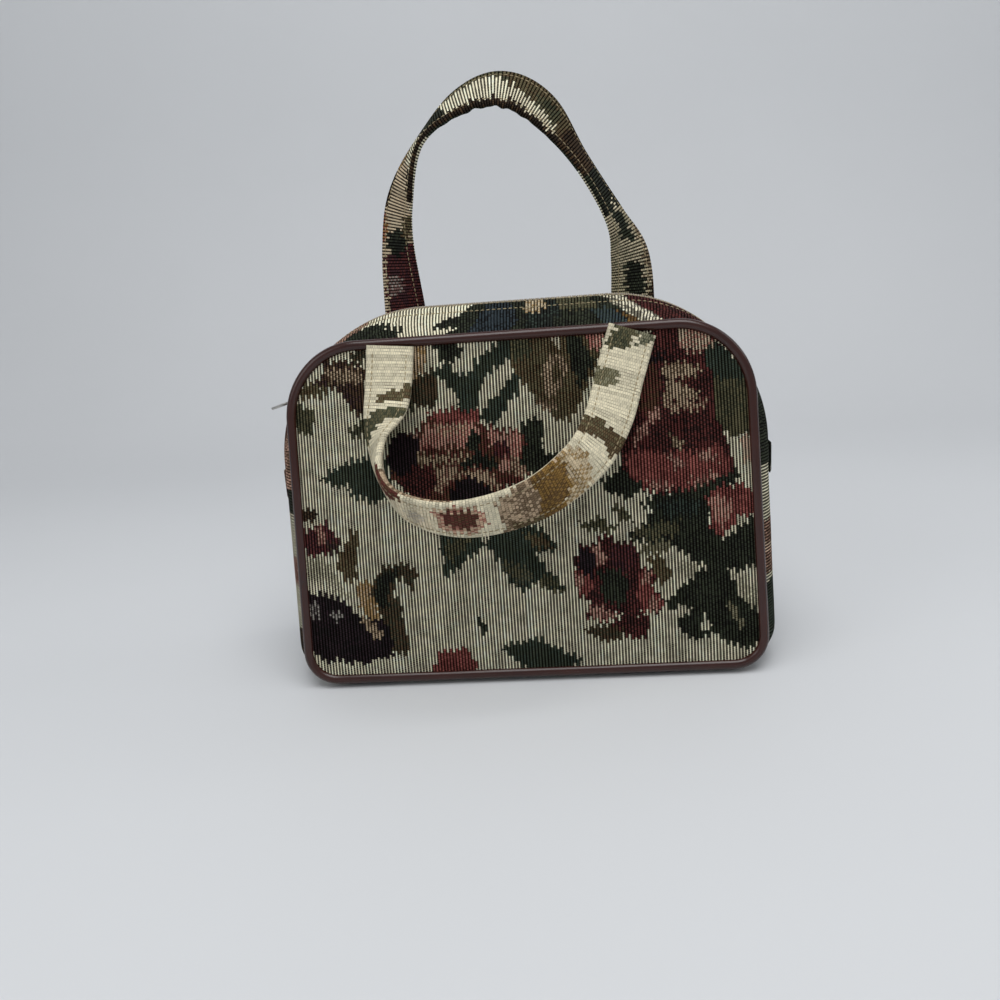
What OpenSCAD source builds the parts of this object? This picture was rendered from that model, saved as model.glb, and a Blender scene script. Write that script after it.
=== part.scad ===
// Small soft cosmetic bag with a zipped top, piped seams and two strap handles.
// The front faces -Y, +Z is up, and the origin is on the floor under the middle of the base.

/* [Body] */
// Width of the panels between the piped seams, in mm
panel_w = 215; // [170:1:260]
// Height of the panels between the piped seams
panel_h = 160; // [155:1:200]
// Depth between the two piped seams at the base
base_d = 82; // [66:1:100]
// Depth between the two piped seams at the top
top_d = 54; // [46:1:64]
// Radius of the seam at the top corners
top_r = 33; // [25:1:42]
// Radius of the seam at the bottom corners
bottom_r = 14; // [10:1:20]
// How far the gusset stands out past the seams at the sides
side_crown = 8.5; // [5:0.5:12]
// How far the gusset stands out past the seams under the base
base_crown = 4.5; // [3:0.5:7]
// Share of the gusset's depth that is flat, which the bag rests on
gusset_flat = 0.6; // [0.4:0.2:0.8]
// Height of the seam between the lower gusset and the zipped top
join_z = 98; // [80:1:105]

/* [Cloth] */
// Thickness of the tapestry cloth
cloth_t = 1.6; // [1:0.1:2.2]
// Thickness of the lining
lining_t = 0.8; // [0.5:0.1:1.2]
// Clearance between two layers of cloth that lie on each other
lay_gap = 0.2; // [0.1:0.05:0.3]
// Diameter of the piping
piping_d = 4.8; // [3.6:0.2:6]

/* [Zipped top] */
// How far the zip stands above the piped seams at the top
ridge_rise = 14; // [10:1:18]
// Radius of the zip at the two corners
zip_r = 72; // [56:1:78]
// Width of the zip that shows between the two strips
zip_show = 9.6; // [8:0.2:12]
// Slot between the two rows of the coil
coil_slot = 1.2; // [1:0.1:1.6]
// Diameter of each row of the coil
coil_d = 2; // [1.6:0.1:2.2]
// Thickness of the zip tape
tape_t = 0.7; // [0.5:0.1:0.9]
// Distance from the edge of the strip to the bend in the tape, which keeps the tape clear of the fold
tape_bend = 0.6; // [0.5:0.1:0.8]
// How far the tape runs past its bend, under the strip
tape_tuck = 3.2; // [2.6:0.1:4]
// How far the tape falls under the strip
tape_fall = 2; // [1.8:0.1:2.4]
// Clearance between the slider and the zip
slide_gap = 0.4; // [0.3:0.05:0.5]

/* [Slider] */
// Length of the slider along the zip
slider_len = 9; // [7:0.5:11]
// Width of the slider
slider_w = 7.4; // [6.4:0.2:8.4]
// Angle of the slider up the left corner from the start of its arc
slider_at = 24; // [8:1:40]
// Length of the pull from its pin
pull_len = 12; // [11:1:18]
// Width of the pull
pull_w = 6; // [5:0.5:7]
// Angle that the pull hangs below the slider's outward direction
pull_drop = 40; // [30:1:60]

/* [Handles] */
// Width of the straps
strap_w = 22; // [16:1:28]
// Thickness of the straps
strap_t = 3; // [2:0.2:4]
// Distance between the two ends of a strap, centre to centre
strap_span = 112; // [80:1:130]
// How far the front strap hangs below the seam
front_drop = 71; // [55:1:85]
// How far the front strap bows forward
front_bow = 39; // [30:1:60]
// How far the rear strap stands above the seam
rear_rise = 108; // [80:1:120]
// How far the rear strap bows forward at its top
rear_bow = 12; // [0:1:20]

/* [End tabs] */
// Height of the folded tab at each end of the zip
tab_h = 15; // [11:1:18]
// Length of the tab across the gusset
tab_w = 30; // [24:1:34]
// Thickness of the folded tab
tab_t = 2.4; // [2:0.2:4]

/* [Hidden] */
$fn = 64;
tapestry = "#b9ad92";
burgundy = "#45282a";
beige = "#8d8374";
steel = "#a7a8a8";
lining_colour = "#4c3a34";

piping_r = piping_d / 2;
seam_z = base_crown;
seam_top = seam_z + panel_h;
lean = atan((base_d - top_d) / 2 / panel_h);
slant_h = panel_h / cos(lean);
zip_x = panel_w / 2 + side_crown;
zip_top = seam_top + ridge_rise;
zip_cx = zip_x - zip_r;
zip_cz = zip_top - zip_r;
edge_in = 0.85 * piping_r;
coil_r = coil_d / 2;
tape_top = -cloth_t;
coil_mid = tape_top + coil_r;
corner_steps = 9;
base_steps = 6;
strap_steps = 40;
gusset_parts = 10;
strip_parts = 5;

// Curves of the cloth. A larger power keeps the cloth nearer to its ends for longer.
roof_power = 1.3;
bow_power = 1.6;

// Routes of the two loops from the left end to the right one. Each point has its distance across as a share
// of the span, its fall or rise as a share of the loop's height, and the angle by which the strap turns from
// facing forward to facing out of its loop.
front_route = [[-0.5, 0, 0], [-0.52, 0.32, 10], [-0.555, 0.57, 55], [-0.53, 0.78, 66], [-0.43, 0.93, 46],
    [-0.21, 1, 30], [0.055, 0.925, 20], [0.26, 0.735, 10], [0.36, 0.525, 4], [0.42, 0.27, 0], [0.48, 0, 0]];
rear_route = [[-0.51, 0, 0], [-0.515, 0.38, 36], [-0.475, 0.61, 50], [-0.36, 0.83, 76], [-0.18, 0.965, 54],
    [0, 1, 40], [0.165, 0.91, 42], [0.315, 0.7, 68], [0.46, 0.445, 62], [0.52, 0.26, 26], [0.525, 0, 0]];

// Slider and pull, worked out from the zip that they ride on.
plate_t = 1.1;
plate_low = tape_top + coil_d + slide_gap;
plate_top = plate_low + plate_t;
under_high = tape_top - tape_t - slide_gap;
under_low = under_high - plate_t;
slider_span = slider_len / zip_r * 180 / PI;
post_gap = 0.3;
post_t = coil_slot - 2 * post_gap;
pin_r = 0.6;
pin_rise = 1.6;
pin_out = zip_r + plate_top + pin_rise;
pin_gap = 0.3;
bore_gap = 0.15;
lug_t = 1;
lug_r = 1.5;
lug_root = 2.2;
lug_gap = 1.8;
lug_w = lug_gap + 2 * lug_t;
pull_t = 1.2;
pull_eye = 1.4;
neck_w = lug_gap - 2 * pin_gap;
neck_len = 3.4;
blade_at = 3.2;
blade_cut = 0.8;
blade_taper = 2.8;
hole_at = pull_len - 5.5;

// Half of the depth between the seams at a height.
function half_d(z) = base_d / 2 - (z - seam_z) * tan(lean);

// How far the gusset stands out where the seam faces a direction.
function crown(nx, nz) = side_crown * nx * nx + base_crown * nz * nz;

// Height of the gusset's section as a share of its crown, from 0 at the seams to 1 on its flat middle.
function swell(v) = let (past = max(0, abs(v) - gusset_flat) / (1 - gusset_flat)) 1 - past * past;

// Points of an arc, each with its outward direction: [x, z, nx, nz].
function arc(cx, cz, r, a0, a1, n) =
    [for (i = [0 : n]) let (a = a0 + (a1 - a0) * i / n) [cx + r * cos(a), cz + r * sin(a), cos(a), sin(a)]];

// The seam from the left join down, along the base and up to the right join.
function lower_path() = concat(
    [[-panel_w / 2, join_z, -1, 0]],
    arc(-panel_w / 2 + bottom_r, seam_z + bottom_r, bottom_r, 180, 270, base_steps),
    arc(panel_w / 2 - bottom_r, seam_z + bottom_r, bottom_r, 270, 360, base_steps),
    [[panel_w / 2, join_z, 1, 0]]);

// An arch from the left join up, over the top and down to the right join.
function upper_path(x, top, r) = concat(
    [[-x, join_z, -1, 0]],
    arc(r - x, top - r, r, 180, 90, corner_steps),
    arc(x - r, top - r, r, 90, 0, corner_steps),
    [[x, join_z, 1, 0]]);

// A closed solid skinned through rows of points. Each row is a closed section: its first half lies on one
// face of the cloth and its second half runs back on the other. Both faces are split along the same
// diagonals, so that the cloth keeps its thickness.
module skin(rows) {
    n = len(rows[0]);
    m = len(rows);
    sides = [for (i = [0 : m - 2], k = [0 : n - 1])
        let (a = i * n + k, b = i * n + (k + 1) % n)
        each (k < n / 2 ? [[a, b, b + n], [a, b + n, a + n]] : [[a, b, a + n], [b, b + n, a + n]])];
    first = [for (k = [n - 1 : -1 : 0]) k];
    last = [for (k = [0 : n - 1]) (m - 1) * n + k];
    polyhedron([for (row = rows) each row], concat(sides, [first, last]), convexity = 8);
}

// One section of the gusset: a crowned strip between the seams, between two depths below its outside.
function gusset_row(p, from, to, n = gusset_parts) =
    let (half = half_d(p[1]) - piping_r)
    concat(
        [for (k = [0 : n]) gusset_point(p, half, 2 * k / n - 1, from)],
        [for (k = [n : -1 : 0]) gusset_point(p, half, 2 * k / n - 1, to)]);

function gusset_point(p, half, v, depth) =
    let (r = crown(p[2], p[3]) * swell(v) - depth)
    [p[0] + p[2] * r, v * half, p[1] + p[3] * r];

// One section of a zip strip, from the seam at a to the zip's edge at b. side is -1 at the front.
function strip_row(a, b, side, n = strip_parts) =
    concat(
        [for (k = [0 : n]) strip_point(a, b, side, k / n, 0)],
        [for (k = [n : -1 : 0]) strip_point(a, b, side, k / n, cloth_t)]);

function strip_point(a, b, side, u, depth) =
    let (
        outer = half_d(a[1]) - piping_r,
        y = outer + (zip_show / 2 - outer) * u,
        roof = 1 - pow(1 - u, roof_power),
        g = roof * a[3] * a[3] + swell(y / outer) * a[2] * a[2])
    [a[0] + (b[0] - a[0]) * g - a[2] * depth, side * y, a[1] + (b[1] - a[1]) * g - a[3] * depth];

// The seam's outline on a panel, drawn in by a distance.
module panel_outline(inset) {
    w = panel_w - 2 * inset;
    h = slant_h - 2 * inset;
    low = bottom_r - inset;
    high = top_r - inset;
    translate([0, inset]) union() {
        translate([-w / 2, low]) square([w, h - low - high]);
        translate([low - w / 2, 0]) square([w - 2 * low, low]);
        translate([high - w / 2, h - high]) square([w - 2 * high, high]);
        for (s = [-1, 1]) {
            translate([s * (w / 2 - low), low]) circle(low);
            translate([s * (w / 2 - high), h - high]) circle(high);
        }
    }
}

// Sets a piece drawn on XY, with its outside towards +Z, into the leaning plane of the front seam.
module on_front() {
    translate([0, -base_d / 2, seam_z]) rotate([90 - lean, 0, 0]) children();
}

// Turns a front piece into the rear one.
module to_rear() {
    mirror([0, 1, 0]) children();
}

// A round cord all the way round the seam's outline.
module seam_cord(r) {
    w = panel_w;
    h = slant_h;
    for (s = [-1, 1]) {
        translate([s * w / 2, bottom_r, 0]) rotate([-90, 0, 0]) cylinder(h = h - bottom_r - top_r, r = r);
        translate([s * (w / 2 - top_r), h - top_r, 0]) rotate(s > 0 ? 0 : 90)
            rotate_extrude(angle = 90) translate([top_r, 0]) circle(r);
        translate([s * (w / 2 - bottom_r), bottom_r, 0]) rotate(s > 0 ? -90 : 180)
            rotate_extrude(angle = 90) translate([bottom_r, 0]) circle(r);
    }
    translate([bottom_r - w / 2, 0, 0]) rotate([0, 90, 0]) cylinder(h = w - 2 * bottom_r, r = r);
    translate([top_r - w / 2, h, 0]) rotate([0, 90, 0]) cylinder(h = w - 2 * top_r, r = r);
}

module panel() {
    difference() {
        translate([0, 0, -cloth_t / 2]) linear_extrude(cloth_t) panel_outline(edge_in);
        seam_cord(piping_r);
    }
}

module front_panel() {
    color(tapestry) on_front() panel();
}

module back_panel() {
    color(tapestry) to_rear() on_front() panel();
}

module piping_front() {
    color(burgundy) on_front() seam_cord(piping_r);
}

module piping_rear() {
    color(burgundy) to_rear() on_front() seam_cord(piping_r);
}

module lower_gusset() {
    color(tapestry) skin([for (p = lower_path()) gusset_row(p, 0, cloth_t)]);
}

module zip_strip(side) {
    seam = upper_path(panel_w / 2, seam_top, top_r);
    ridge = upper_path(zip_x, zip_top, zip_r);
    skin([for (i = [0 : len(seam) - 1]) strip_row(seam[i], ridge[i], side)]);
}

module zip_strip_front() {
    color(tapestry) zip_strip(-1);
}

module zip_strip_rear() {
    color(tapestry) to_rear() zip_strip(-1);
}

// Sweeps a section over the zip's arch, from one join to the other. In the section, x is the distance
// out from the zip's line and y runs towards the rear.
module along_zip() {
    straight = zip_cz - join_z;
    for (s = [0, 1]) mirror([s, 0, 0]) {
        translate([zip_x, 0, join_z]) linear_extrude(straight) children();
        translate([zip_cx, 0, zip_cz]) rotate([90, 0, 0]) rotate_extrude(angle = 90)
            translate([zip_r, 0]) mirror([0, 1]) children();
    }
    translate([-zip_cx, 0, zip_top]) rotate([0, 90, 0]) linear_extrude(2 * zip_cx) mirror([1, 0]) children();
}

// Section of one side of the zip tape: flat beside the coil, then sloping down under the strip.
module tape_section() {
    inner = coil_slot / 2;
    bend = zip_show / 2 - tape_bend;
    outer = bend + tape_tuck;
    low = tape_top - tape_fall;
    polygon([[tape_top, inner], [tape_top, bend], [low, outer],
        [low - tape_t, outer], [tape_top - tape_t, bend], [tape_top - tape_t, inner]]);
}

module coil_section() {
    translate([coil_mid, coil_slot / 2 + coil_r]) circle(coil_r);
}

module zip_tape_front() {
    color(beige) to_rear() along_zip() tape_section();
}

module zip_tape_rear() {
    color(beige) along_zip() tape_section();
}

module zip_coil_front() {
    color(beige) to_rear() along_zip() coil_section();
}

module zip_coil_rear() {
    color(beige) along_zip() coil_section();
}

// Turns a piece made at the start of the left corner's arc to the slider's place.
module at_slider() {
    translate([-zip_cx, 0, zip_cz]) rotate([0, slider_at, 0]) children();
}

// A curved plate that follows the zip's arc, between two distances out from the zip's line.
module slider_plate(low, high, width, span) {
    mirror([1, 0, 0]) rotate([90, 0, 0]) rotate(-span / 2) rotate_extrude(angle = span)
        translate([zip_r + low, -width / 2]) square([high - low, width]);
}

module zip_slider() {
    color(steel) at_slider() {
        slider_plate(plate_low, plate_top, slider_w, slider_span);
        slider_plate(under_low, under_high, slider_w, slider_span);
        slider_plate(under_low, plate_top, post_t, slider_span / 2);
        for (s = [-1, 1]) translate([-pin_out, s * (lug_w - lug_t) / 2, 0]) rotate([90, 0, 0])
            translate([0, 0, -lug_t / 2]) linear_extrude(lug_t) union() {
                circle(lug_r);
                translate([0, -lug_r]) square([lug_root, 2 * lug_r]);
            }
        translate([-pin_out, lug_w / 2, 0]) rotate([90, 0, 0]) cylinder(h = lug_w, r = pin_r);
    }
}

module zip_pull() {
    half = pull_w / 2;
    tip = pull_len - blade_at;
    color(steel) at_slider() translate([-pin_out, 0, 0]) rotate([0, 180 - pull_drop, 0]) difference() {
        union() {
            rotate([90, 0, 0]) cylinder(h = neck_w, r = pull_eye, center = true);
            translate([0, -neck_w / 2, -pull_t / 2]) cube([neck_len, neck_w, pull_t]);
            translate([blade_at, 0, -pull_t / 2]) linear_extrude(pull_t)
                polygon([[0, blade_cut - half], [1, -half], [tip - blade_taper, -half], [tip, -half / 3],
                    [tip, half / 3], [tip - blade_taper, half], [1, half], [0, half - blade_cut]]);
        }
        rotate([90, 0, 0]) cylinder(h = neck_w + 1, r = pin_r + bore_gap, center = true);
        translate([hole_at, 0, -pull_t]) cylinder(h = 2 * pull_t, d = pull_w / 3);
    }
}

// A folded tab sewn over each end of the zip, where the zipped top meets the lower gusset.
module end_tab(s) {
    fold_r = tab_t / 2;
    x = s * (zip_x + tape_top + coil_d + fold_r);
    translate([x, tab_w / 2, join_z]) rotate([90, 0, 0]) linear_extrude(tab_w) union() {
        translate([-fold_r, fold_r - tab_h / 2]) square([tab_t, tab_h - tab_t]);
        translate([0, fold_r - tab_h / 2]) circle(fold_r);
        translate([0, tab_h / 2 - fold_r]) circle(fold_r);
    }
}

module end_tab_left() {
    color(tapestry) end_tab(-1);
}

module end_tab_right() {
    color(tapestry) end_tab(1);
}

// Strap handles. Each follows its route, and at runs from 0 at the left end to 1 at the right end.
function unit(v) = v / norm(v);

// A smooth curve through the points of a route.
function route_at(route, at) =
    let (
        last = len(route) - 1,
        i = min(floor(at * last), last - 1),
        f = at * last - i,
        b = route[i],
        c = route[i + 1],
        a = i > 0 ? route[i - 1] : 2 * b - c,
        d = i + 1 < last ? route[i + 2] : 2 * c - b)
    b + (c - a) * f / 2 + (2 * a - 5 * b + 4 * c - d) * f * f / 2 + (3 * b - a - 3 * c + d) * f * f * f / 2;

function front_line(at) =
    let (
        p = route_at(front_route, at),
        z = seam_top - piping_r - front_drop * p[1],
        on_panel = half_d(z) + cloth_t / 2 + lay_gap + strap_t / 2)
    [strap_span * p[0], -on_panel - front_bow * pow(max(0, p[1]), bow_power), z];

function rear_line(at) =
    let (p = route_at(rear_route, at), on_seam = half_d(seam_top) + cloth_t / 2 + strap_t / 2)
    [strap_span * p[0], on_seam - rear_bow * p[1] * p[1], seam_top + piping_r + rear_rise * p[1]];

// Direction of a strap from a little before a place to a little after it. At both ends it is upright, because
// the strap is cut along the seam that holds it.
function heading(at, before, after) =
    at == 0 || at == 1 ? [0, 0, sign(after[2] - before[2])] : unit(after - before);

// The strap's outward direction, turned from forward to the outside of its loop. up is 1 for a loop that
// stands and -1 for one that hangs.
function strap_face(dir, turn, up) = [0, -cos(turn), 0] + unit([-up * dir[2], 0, up * dir[0]]) * sin(turn);

function strap_row(c, dir, face) =
    let (w = unit(cross(dir, face)) * strap_w / 2, n = unit(cross(w, dir)) * strap_t / 2)
    [c - w - n, c + w - n, c + w + n, c - w + n];

module handle_front() {
    step = 1 / strap_steps;
    near = step / 2;
    color(tapestry) skin([for (i = [0 : strap_steps])
        let (
            at = i * step,
            dir = heading(at, front_line(max(at - near, 0)), front_line(min(at + near, 1))))
        strap_row(front_line(at), dir, strap_face(dir, route_at(front_route, at)[2], -1))]);
}

module handle_rear() {
    step = 1 / strap_steps;
    near = step / 2;
    color(tapestry) skin([for (i = [0 : strap_steps])
        let (
            at = i * step,
            dir = heading(at, rear_line(max(at - near, 0)), rear_line(min(at + near, 1))))
        strap_row(rear_line(at), dir, strap_face(dir, route_at(rear_route, at)[2], 1))]);
}

module lining_front() {
    color(lining_colour) on_front() translate([0, 0, -cloth_t / 2 - lay_gap - lining_t])
        linear_extrude(lining_t) panel_outline(edge_in + cloth_t + lining_t);
}

module lining_back() {
    color(lining_colour) to_rear() on_front() translate([0, 0, -cloth_t / 2 - lay_gap - lining_t])
        linear_extrude(lining_t) panel_outline(edge_in + cloth_t + lining_t);
}

module lining_gusset() {
    top = cloth_t + lay_gap;
    color(lining_colour) skin([for (p = lower_path()) gusset_row(p, top, top + lining_t)]);
}

front_panel();
back_panel();
lower_gusset();
zip_strip_front();
zip_strip_rear();
piping_front();
piping_rear();
handle_front();
handle_rear();
end_tab_left();
end_tab_right();
zip_tape_front();
zip_tape_rear();
zip_coil_front();
zip_coil_rear();
zip_slider();
zip_pull();
lining_front();
lining_back();
lining_gusset();
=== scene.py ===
from math import atan, cos, pi, radians, sin, tan

import bpy
import numpy as np
from mathutils import Matrix, Vector


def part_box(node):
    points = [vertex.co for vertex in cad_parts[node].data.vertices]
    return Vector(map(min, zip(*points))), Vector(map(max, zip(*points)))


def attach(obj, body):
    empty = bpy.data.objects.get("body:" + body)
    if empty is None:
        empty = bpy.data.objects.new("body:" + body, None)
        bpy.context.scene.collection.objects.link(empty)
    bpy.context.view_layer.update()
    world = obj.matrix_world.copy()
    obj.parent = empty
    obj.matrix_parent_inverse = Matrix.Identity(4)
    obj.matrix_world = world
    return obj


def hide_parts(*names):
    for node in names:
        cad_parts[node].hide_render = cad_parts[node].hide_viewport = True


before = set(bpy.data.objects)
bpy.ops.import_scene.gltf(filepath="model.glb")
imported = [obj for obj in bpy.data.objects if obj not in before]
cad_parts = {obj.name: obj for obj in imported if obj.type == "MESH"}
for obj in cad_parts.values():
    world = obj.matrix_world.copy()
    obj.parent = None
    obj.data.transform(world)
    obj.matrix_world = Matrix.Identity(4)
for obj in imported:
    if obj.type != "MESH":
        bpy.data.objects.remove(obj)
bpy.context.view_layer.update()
scene = bpy.context.scene
scene.view_settings.view_transform = "Standard"
mm = 0.001

# Camera: it stands a little above the top of the bag and looks down at its front by 15 degrees, turned
# slightly to the left and rolled slightly, as a hand-held camera is.
bpy.ops.object.select_all(action="DESELECT")
bpy.ops.object.camera_add()
camera = bpy.context.object
camera.name = "camera"
look_right = Vector((0.9954, 0.0624, -0.0724)).normalized()
look_out = Vector((-0.0791, 0.9627, -0.2588)).normalized()
look_up = look_right.cross(look_out)
look_from = Vector((22.6, -439.9, 198.4)) * mm
turned = Matrix((look_right, look_up, -look_out)).transposed()
camera.matrix_world = Matrix.Translation(look_from) @ turned.to_4x4()
camera.data.sensor_width = 36
camera.data.lens = 32.4
camera.data.clip_start = 0.01
scene.camera = camera

# Seam lines: the front and the back panel are rounded outlines in two planes that lean together, and the
# piped seam runs all round each. Every other piece of cloth starts from these lines. The bag is a little
# wider at the foot than at the top, where the filled corners push out.
piping_r = 2.4
cord_low, cord_high = np.array(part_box("piping_front")) / mm
half_w = cord_high[0] - piping_r
seam_z = cord_low[2] + piping_r
panel_h = cord_high[2] - piping_r - seam_z
base_half = -cord_low[1] - piping_r
top_half = piping_r - cord_high[1]
lean = atan((base_half - top_half) / panel_h)
slant_h = panel_h / cos(lean)
top_r = 33
bottom_r = 14
foot_flare = 0.0235
past_seam = 0.05


def flare_at(z):
    share = np.clip((z - seam_z) / panel_h, -past_seam, 1 + past_seam)
    return 1 + foot_flare * (1 - 2 * share)


def half_depth(z):
    return base_half - (z - seam_z) * tan(lean)


def on_front(x, s, out):
    """Points of the front plane: x across, s up the slant from the lower seam, and out of the plane."""
    z = seam_z + s * cos(lean)
    y = -base_half + s * sin(lean) - out * cos(lean)
    return np.stack([x * flare_at(z), y, z + out * sin(lean)], -1)


def depth_inside(x, s):
    """How far a point of the panel lies inside the seam line."""
    side = np.where(s > slant_h / 2, top_r, bottom_r)
    qx = np.abs(x) - half_w + side
    qs = np.abs(s - slant_h / 2) - slant_h / 2 + side
    corner = np.hypot(np.maximum(qx, 0), np.maximum(qs, 0))
    return side - corner - np.minimum(np.maximum(qx, qs), 0)


# Front panel: one piece of rose tapestry, a cotton cloth woven with thick upright ribs, cut to the seam
# line and sewn in under the piping. The filled bag pushes it out, so a pinned cloth is blown out by
# simulation and the woven cells follow it. Each cell of the grid is one rib wide and one pick high.
rib = 1.45
pick = 1.0
cloth_t = 1.5
panel_puff = 6.0
sewn_margin = 3
puff_frames = 25


def puffed_sheet(columns, rows):
    """Heights of a sheet that is pinned along the seam and blown out, row by row from the foot."""
    bpy.ops.object.select_all(action="DESELECT")
    bpy.ops.mesh.primitive_grid_add(x_subdivisions=columns, y_subdivisions=rows, size=2, calc_uvs=False)
    sheet = bpy.context.object
    flat = np.empty(len(sheet.data.vertices) * 3)
    sheet.data.vertices.foreach_get("co", flat)
    flat = flat.reshape(-1, 3)
    x = flat[:, 0] * half_w
    s = (flat[:, 1] + 1) / 2 * slant_h
    start = np.stack([x * mm, s * mm, x * 0], -1)
    sheet.data.vertices.foreach_set("co", start.ravel())
    sewn = sheet.vertex_groups.new(name="sewn")
    sewn.add([int(i) for i in np.nonzero(depth_inside(x, s) < sewn_margin)[0]], 1, "ADD")
    cloth = sheet.modifiers.new("Cloth", "CLOTH")
    cloth.settings.quality = 6
    cloth.settings.mass = 0.3
    cloth.settings.tension_stiffness = 12
    cloth.settings.compression_stiffness = 12
    cloth.settings.bending_stiffness = 0.4
    cloth.settings.vertex_group_mass = "sewn"
    cloth.settings.use_pressure = True
    cloth.settings.uniform_pressure_force = 1.5
    cloth.settings.effector_weights.gravity = 0
    cloth.point_cache.frame_start = 1
    cloth.point_cache.frame_end = 30
    for number in range(1, puff_frames + 1):
        scene.frame_set(number)
    shaped = sheet.evaluated_get(bpy.context.evaluated_depsgraph_get()).to_mesh()
    end = np.empty(len(shaped.vertices) * 3)
    shaped.vertices.foreach_get("co", end)
    out = end.reshape(-1, 3)[:, 2] / mm
    bpy.data.objects.remove(sheet)
    scene.frame_set(1)
    order = np.lexsort((np.round(x, 3), np.round(s, 3)))
    return out[order].reshape(len(np.unique(np.round(s, 3))), -1)


puff = puffed_sheet(54, 40)
puff = puff / max(abs(puff.max()), abs(puff.min())) * np.sign(puff.sum())


def table_value(table, across, up):
    """Reads a table between its entries, at shares of the way across and up it."""
    columns, rows = table.shape[1] - 1, table.shape[0] - 1
    i = np.minimum((across * columns).astype(int), columns - 1)
    k = np.minimum((up * rows).astype(int), rows - 1)
    a, b = across * columns - i, up * rows - k
    low = table[k, i] * (1 - a) + table[k, i + 1] * a
    high = table[k + 1, i] * (1 - a) + table[k + 1, i + 1] * a
    return low * (1 - b) + high * b


def front_panel_at(u, v):
    x = (2 * u - 1) * half_w
    s = v * slant_h
    waves = 0.5 * np.sin(x / 17 + s / 41) + 0.35 * np.sin(s / 13 - x / 60 + 1.3)
    blown = table_value(puff, np.clip(u, 0, 0.9999), np.clip(v, 0, 0.9999))
    return on_front(x, s, cloth_t / 2 + panel_puff * blown + waves * np.minimum(blown * 3, 1))


def woven_grid(name, ribs, picks, place):
    """A grid of ribs by picks cells, placed by a function of the shares across and up. Also gives the
    shares at the middle of each cell."""
    bpy.ops.object.select_all(action="DESELECT")
    bpy.ops.mesh.primitive_grid_add(x_subdivisions=ribs, y_subdivisions=picks, size=2, calc_uvs=False)
    piece = bpy.context.object
    piece.name = name
    mesh = piece.data
    start = np.empty(len(mesh.vertices) * 3)
    mesh.vertices.foreach_get("co", start)
    uv = (start.reshape(-1, 3)[:, :2] + 1) / 2
    points = place(uv[:, 0], uv[:, 1]) * mm
    mesh.vertices.foreach_set("co", points.ravel())
    corner = np.empty(len(mesh.loops), dtype=int)
    mesh.loops.foreach_get("vertex_index", corner)
    weave = mesh.uv_layers.new(name="weave")
    weave.data.foreach_set("uv", (uv[corner] * [ribs, picks]).ravel())
    mesh.update()
    cells = uv[corner].reshape(-1, 4, 2).mean(axis=1)
    return piece, cells


def linear(text):
    value = np.array([int(text[i:i + 2], 16) for i in (1, 3, 5)]) / 255
    return np.where(value <= 0.04045, value / 12.92, ((value + 0.055) / 1.055) ** 2.4)


# The yarns of the tapestry, and how much of each of two yarns shows in the other's cells.
yarn = {
    "cream": "#faf2d2", "sand": "#d2c3a5", "tan": "#cdb596", "ochre": "#94733c", "pink": "#d6aa95",
    "rose": "#a15e55", "burgundy": "#673531", "plum": "#34252b", "brown": "#57432f", "olive": "#6a6449",
    "sage": "#918e74", "green": "#3c4233", "teal": "#3e4a41", "black": "#191918", "grey": "#aaa59b",
    "slate": "#3a454b", "ivory": "#d9d0b4",
}
show_through = 0.22


def fields(text):
    """Reads fields of colour: the main yarn, a second yarn, the share of the second, and the outline."""
    found = []
    for line in text.replace("\n    ", " ").strip().split("\n"):
        first, second, share, *outline = line.split()
        points = [tuple(float(n) for n in point.split(",")) for point in outline]
        found.append((first, second, float(share), points))
    return found


def scatter(*numbers):
    """Numbers from 0 to 1 that look random, the same for the same place on each run."""
    total = np.zeros(np.broadcast(*numbers).shape)
    for factor, number in zip((12.9898, 78.233, 37.719, 9.151), numbers):
        total = total + factor * number
    return np.modf(np.abs(np.sin(total) * 43758.5453))[0]


def inside(points, x, s):
    hit = np.zeros(x.shape, dtype=bool)
    for (ax, as_), (bx, bs) in zip(points, points[1:] + points[:1]):
        if as_ == bs:
            continue
        hit ^= ((as_ > s) != (bs > s)) & (x < (bx - ax) * (s - as_) / (bs - as_) + ax)
    return hit


def woven_colours(shapes, x, s, across=None, spike=1.5):
    """Colours of the cells at x, s in the drawing. Each field steps along single ribs, counted by across,
    and its second yarn shows in every other cell, more in some parts than in others."""
    column = np.floor((x if across is None else across) / rib)
    row = np.floor(s / pick)
    colour = np.tile(linear(yarn["cream"]), (len(x), 1))
    for number, (first, second, share, points) in enumerate(shapes):
        comb = np.where(column % 2 < 1, 1, -1) * (0.2 + 0.8 * scatter(column, number + 0.5))
        step = spike * (comb + 0.5 * scatter(column, np.floor(row / 4), number) - 0.25)
        notch_x = 0.4 * np.sin(s / 1.3 + x / 9 + number) + 0.5 * (scatter(row, number + 3.5) - 0.5)
        notch_s = 0.5 * np.sin(x / 1.6 - s / 8 + 2 * number)
        chosen = inside(points, x + notch_x, s + notch_s + step)
        drift = np.sin(x / 3.1 + s / 9 + 1.7 * number) * np.sin(s / 4.3 - x / 11 + 2.9 * number)
        mixed = share * (1 + 0.7 * drift) * np.where((column + row) % 2 < 1, 1.8, 0.2)
        other = scatter(column, row, number) < mixed
        one, two = linear(yarn[first]), linear(yarn[second])
        colour[chosen & ~other] = (1 - show_through) * one + show_through * two
        colour[chosen & other] = (1 - show_through) * two + show_through * one
    uneven = (0.88 + 0.24 * scatter(column, row, 7.7)) * (0.84 + 0.3 * scatter(column, 3.3))
    return colour * uneven[:, None]


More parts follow.
